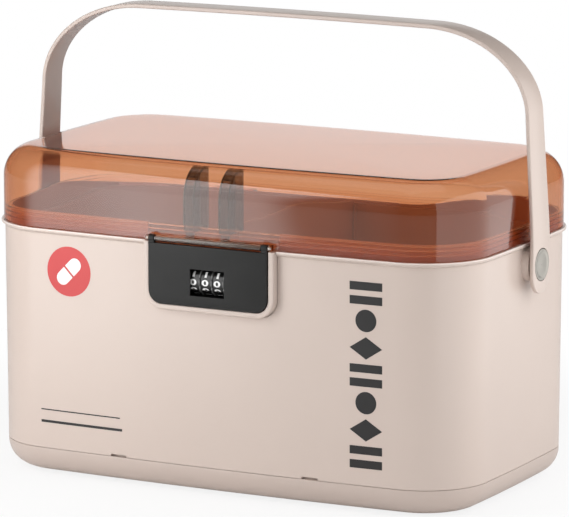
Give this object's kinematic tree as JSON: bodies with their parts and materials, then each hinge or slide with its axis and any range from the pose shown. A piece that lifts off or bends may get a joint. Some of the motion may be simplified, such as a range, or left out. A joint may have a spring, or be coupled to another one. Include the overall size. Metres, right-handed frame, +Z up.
{
  "type": "medication lock box",
  "caption": "Moulded medication lock box with a clear smoke-brown hinged lid, a number-dial clasp lock, a strap handle and a lift-out tray.",
  "frame": {"origin": "centre of the footprint on the plane that the feet stand on", "axes": "+X to the right along the long side, -Y out of the front face with the lock, +Z up"},
  "size_m": [0.3168, 0.1812, 0.2616],
  "materials": {
    "beige_shell": "satin moulded plastic",
    "base_plastic": "satin moulded plastic, a shade darker",
    "foot_rubber": "matte rubber",
    "smoke_lid": "clear smoke-brown moulded plastic",
    "smoke_bracket": "clear smoke-grey moulded plastic",
    "charcoal_panel": "fine satin charcoal plastic",
    "black_case": "matte black plastic",
    "dial_black": "satin black plastic with white numbers",
    "tray_plastic": "satin moulded plastic",
    "pivot_metal": "brushed plate",
    "small_steel": "plated steel"
  },
  "bodies": {
    "box": {"body_shell": "beige_shell", "base_pan": "base_plastic", "foot_1": "foot_rubber", "foot_2": "foot_rubber", "foot_3": "foot_rubber", "foot_4": "foot_rubber", "lock_bezel": "beige_shell", "lock_staple": "small_steel", "staple_screw_1": "small_steel", "staple_screw_2": "small_steel", "handle_pin_left": "pivot_metal", "handle_pin_right": "pivot_metal", "handle_washer_left": "small_steel", "handle_washer_right": "small_steel", "handle_nut_left": "small_steel", "handle_nut_right": "small_steel", "hinge_pin_left": "small_steel", "hinge_pin_right": "small_steel"},
    "handle": {"handle_strap": "beige_shell"},
    "lid": {"lid": "smoke_lid", "clasp_bracket_left": "smoke_bracket", "clasp_bracket_right": "smoke_bracket", "bracket_screw_left": "small_steel", "bracket_screw_right": "small_steel", "clasp_pin": "small_steel"},
    "clasp": {"lock_panel": "charcoal_panel", "lock_case": "black_case", "case_screw_1": "small_steel", "case_screw_2": "small_steel", "dial_detent": "small_steel", "bolt_spring": "small_steel"},
    "dial_1": {"number_dial_1": "dial_black"},
    "dial_2": {"number_dial_2": "dial_black"},
    "dial_3": {"number_dial_3": "dial_black"},
    "bolt": {"lock_bolt": "small_steel"},
    "tray": {"lift_tray": "tray_plastic", "tray_divider": "tray_plastic"}
  },
  "joints": [
    {"name": "handle_swing", "type": "hinge", "parent": "box", "child": "handle", "pos_m": [0, 0.0054, 0.1308], "axis": [1, 0, 0], "range_deg": [-90, 90]},
    {"name": "lid_hinge", "type": "hinge", "parent": "box", "child": "lid", "pos_m": [0, 0.08828, 0.141], "axis": [-1, 0, 0], "range_deg": [0, 20]},
    {"name": "clasp_swing", "type": "hinge", "parent": "lid", "child": "clasp", "pos_m": [0, -0.08858, 0.1449], "axis": [-1, 0, 0], "range_deg": [0, 90]},
    {"name": "dial_1_turn", "type": "hinge", "parent": "clasp", "child": "dial_1", "pos_m": [-0.0091, -0.08128, 0.1223], "axis": [1, 0, 0], "continuous": true},
    {"name": "dial_2_turn", "type": "hinge", "parent": "clasp", "child": "dial_2", "pos_m": [-0.00165, -0.08128, 0.1223], "axis": [1, 0, 0], "continuous": true},
    {"name": "dial_3_turn", "type": "hinge", "parent": "clasp", "child": "dial_3", "pos_m": [0.0058, -0.08128, 0.1223], "axis": [1, 0, 0], "continuous": true},
    {"name": "bolt_slide", "type": "slide", "parent": "clasp", "child": "bolt", "axis": [1, 0, 0], "range_m": [0, 0.0055]},
    {"name": "tray_lift", "type": "slide", "parent": "box", "child": "tray", "axis": [0, 0, 1], "range_m": [0, 0.02]}
  ]
}
